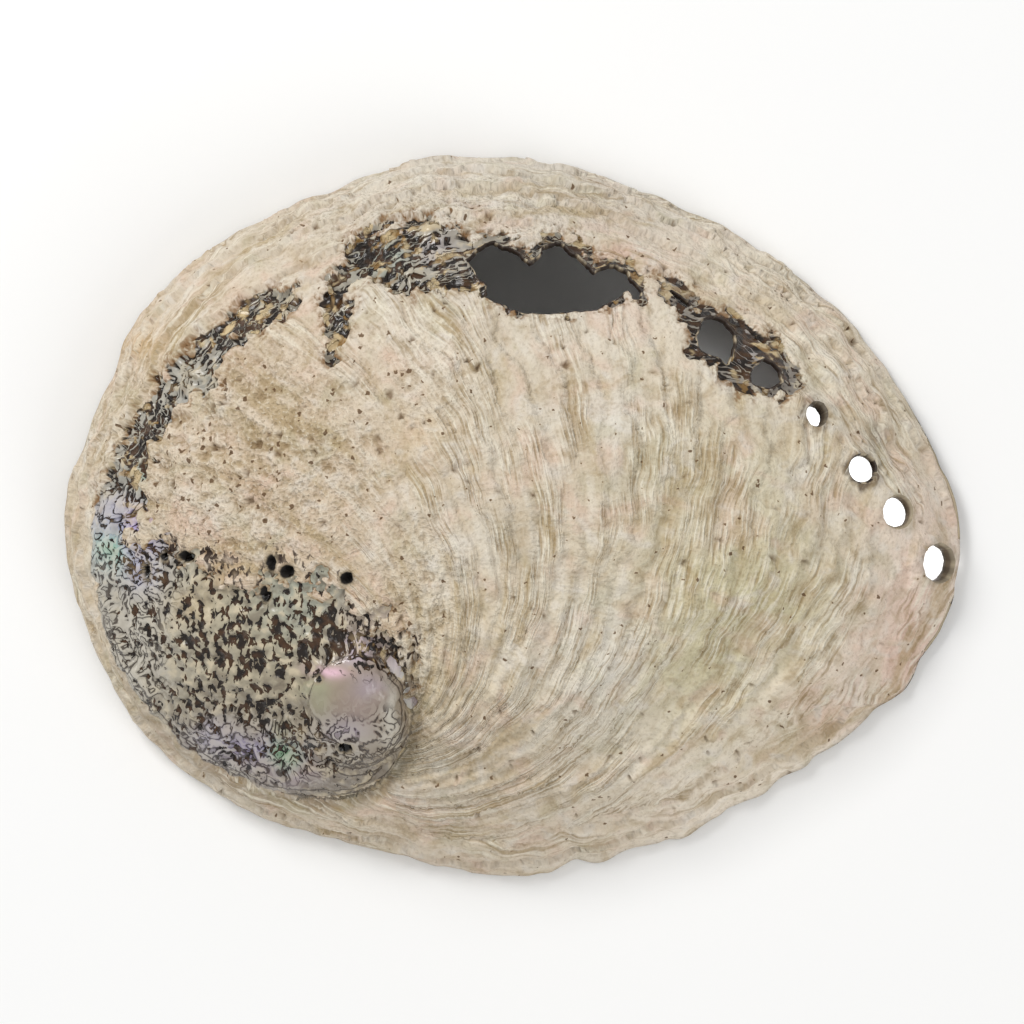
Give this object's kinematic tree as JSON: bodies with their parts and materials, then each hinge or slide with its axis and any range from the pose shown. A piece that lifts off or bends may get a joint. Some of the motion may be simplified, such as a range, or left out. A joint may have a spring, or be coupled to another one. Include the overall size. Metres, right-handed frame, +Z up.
{
  "type": "abalone shell",
  "caption": "Domed ear-shaped abalone shell lying on its rim, with a low spire, breathing holes and gaps where old holes broke through.",
  "frame": {"origin": "centre of the shell's footprint, on the surface that its rim rests on", "axes": "+Z up out of the crown, +X along the length towards the newest breathing hole, +Y towards the row of breathing holes"},
  "size_m": [0.1996, 0.1608, 0.055],
  "materials": {
    "shell": "chalky weathered calcite outside, worn to dark-veined nacre round the spire and hole row, glossy mother-of-pearl inside"
  },
  "bodies": {
    "root": {"shell": "shell"}
  },
  "joints": []
}
